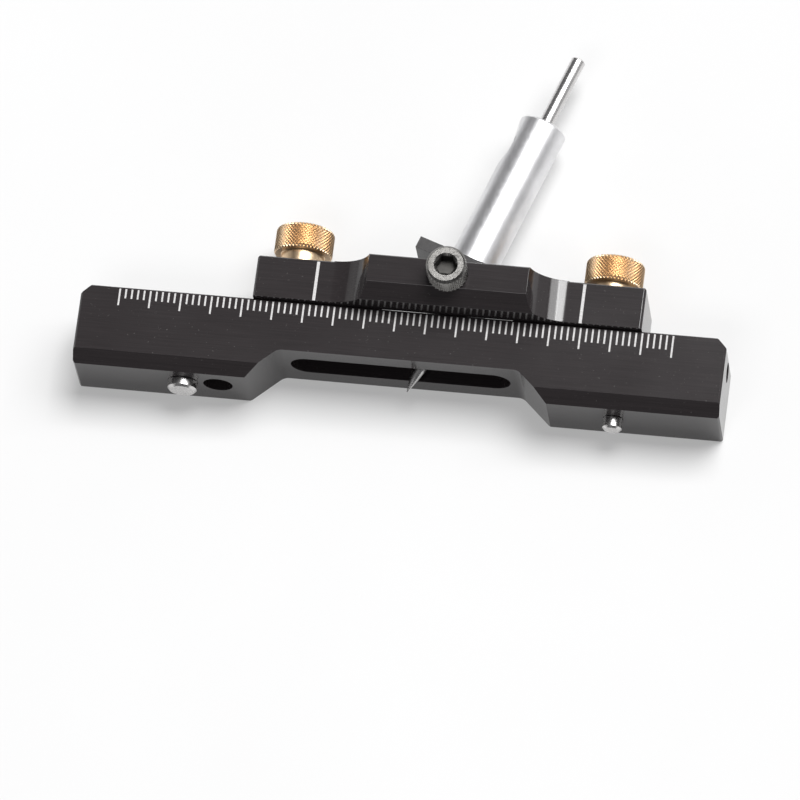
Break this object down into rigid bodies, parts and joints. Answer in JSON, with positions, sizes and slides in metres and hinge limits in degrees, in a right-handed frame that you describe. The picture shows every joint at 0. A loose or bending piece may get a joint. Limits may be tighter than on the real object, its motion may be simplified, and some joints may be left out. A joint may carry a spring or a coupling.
{
  "type": "marking gauge",
  "caption": "Scaled black beam with guide pins in its fence faces and a clamped sliding carriage that swivels a barrel with a scribing needle.",
  "frame": {"origin": "middle of the beam's back face, which the gauge lies on", "axes": "+X along the scale, +Y from the fence faces towards the thumbscrews, +Z out of the scale face"},
  "size_m": [0.105, 0.064, 0.0225],
  "materials": {
    "black_anodised": "black anodised, satin, finely brushed along its length",
    "black_block": "black anodised, satin, milled",
    "white_fill": "white engraved fill, matt",
    "brass": "warm brass, diamond knurled",
    "steel": "turned steel",
    "polished_steel": "ground and polished steel",
    "black_steel": "black oxide steel",
    "bright_aluminium": "turned aluminium, satin"
  },
  "bodies": {
    "beam": {"beam": "black_anodised", "scale_marks": "white_fill"},
    "carriage": {"carriage": "black_anodised", "index_marks": "white_fill"},
    "thumbscrew_left": {"thumb_knob_left": "brass", "thumb_stud_left": "steel"},
    "thumbscrew_right": {"thumb_knob_right": "brass", "thumb_stud_right": "steel"},
    "nut_left": {"t_nut_left": "steel"},
    "nut_right": {"t_nut_right": "steel"},
    "swivel": {"swivel_block": "black_block", "barrel": "bright_aluminium"},
    "clamp": {"clamp_screw": "black_steel"},
    "scriber": {"scriber_rod": "polished_steel"},
    "scriber_lock": {"rod_set_screw": "black_steel"},
    "large_pin": {"guide_pin_large": "polished_steel"},
    "small_pin": {"guide_pin_small": "polished_steel"},
    "large_pin_lock": {"pin_set_screw_large": "black_steel"},
    "spare_lock": {"pin_set_screw_spare": "black_steel"},
    "small_pin_lock": {"pin_set_screw_small": "black_steel"}
  },
  "joints": [
    {"name": "carriage_slide", "type": "slide", "parent": "beam", "child": "carriage", "axis": [1, 0, 0], "range_m": [-0.0183, 0.004]},
    {"name": "barrel_swivel", "type": "hinge", "parent": "carriage", "child": "swivel", "pos_m": [0.00705, 0.0113, 0.0063], "axis": [0, 0, 1], "range_deg": [-1, 39]},
    {"name": "scriber_slide", "type": "slide", "parent": "swivel", "child": "scriber", "axis": [-0.3256, -0.9455, 0], "range_m": [-0.012, 0.01]},
    {"name": "thumbscrew_left_turn", "type": "hinge", "parent": "carriage", "child": "thumbscrew_left", "pos_m": [-0.01835, 0.0138, 0.0063], "axis": [0, 1, 0], "range_deg": [0, 360]},
    {"name": "thumbscrew_right_turn", "type": "hinge", "parent": "carriage", "child": "thumbscrew_right", "pos_m": [0.03245, 0.0138, 0.0063], "axis": [0, 1, 0], "range_deg": [0, 360]},
    {"name": "nut_left_lift", "type": "slide", "parent": "carriage", "child": "nut_left", "axis": [0, -1, 0], "range_m": [0, 0.00071]},
    {"name": "nut_right_lift", "type": "slide", "parent": "carriage", "child": "nut_right", "axis": [0, -1, 0], "range_m": [0, 0.00071]},
    {"name": "clamp_screw_turn", "type": "hinge", "parent": "swivel", "child": "clamp", "pos_m": [0.00705, 0.0113, 0.0185], "axis": [0, 0, 1], "range_deg": [0, 360]},
    {"name": "scriber_lock_turn", "type": "hinge", "parent": "swivel", "child": "scriber_lock", "pos_m": [0.0163, 0.03815, 0.0063], "axis": [-0.9133, 0.3145, 0.2588], "range_deg": [0, 360]},
    {"name": "large_pin_slide", "type": "slide", "parent": "beam", "child": "large_pin", "axis": [0, -1, 0], "range_m": [0, 0.005]},
    {"name": "small_pin_slide", "type": "slide", "parent": "beam", "child": "small_pin", "axis": [0, -1, 0], "range_m": [0, 0.005]},
    {"name": "large_pin_lock_turn", "type": "hinge", "parent": "beam", "child": "large_pin_lock", "pos_m": [-0.0349, -0.003, 0.002], "axis": [0, 0, -1], "range_deg": [0, 360]},
    {"name": "spare_lock_turn", "type": "hinge", "parent": "beam", "child": "spare_lock", "pos_m": [-0.0292, -0.003, 0.002], "axis": [0, 0, -1], "range_deg": [0, 360]},
    {"name": "small_pin_lock_turn", "type": "hinge", "parent": "beam", "child": "small_pin_lock", "pos_m": [0.0351, -0.003, 0.003], "axis": [0, 0, -1], "range_deg": [0, 360]}
  ],
  "couplings": [
    {"joint": "nut_left_lift", "follows": "thumbscrew_left_turn", "m_per_rad": 0.00011141},
    {"joint": "nut_right_lift", "follows": "thumbscrew_right_turn", "m_per_rad": 0.00011141}
  ]
}
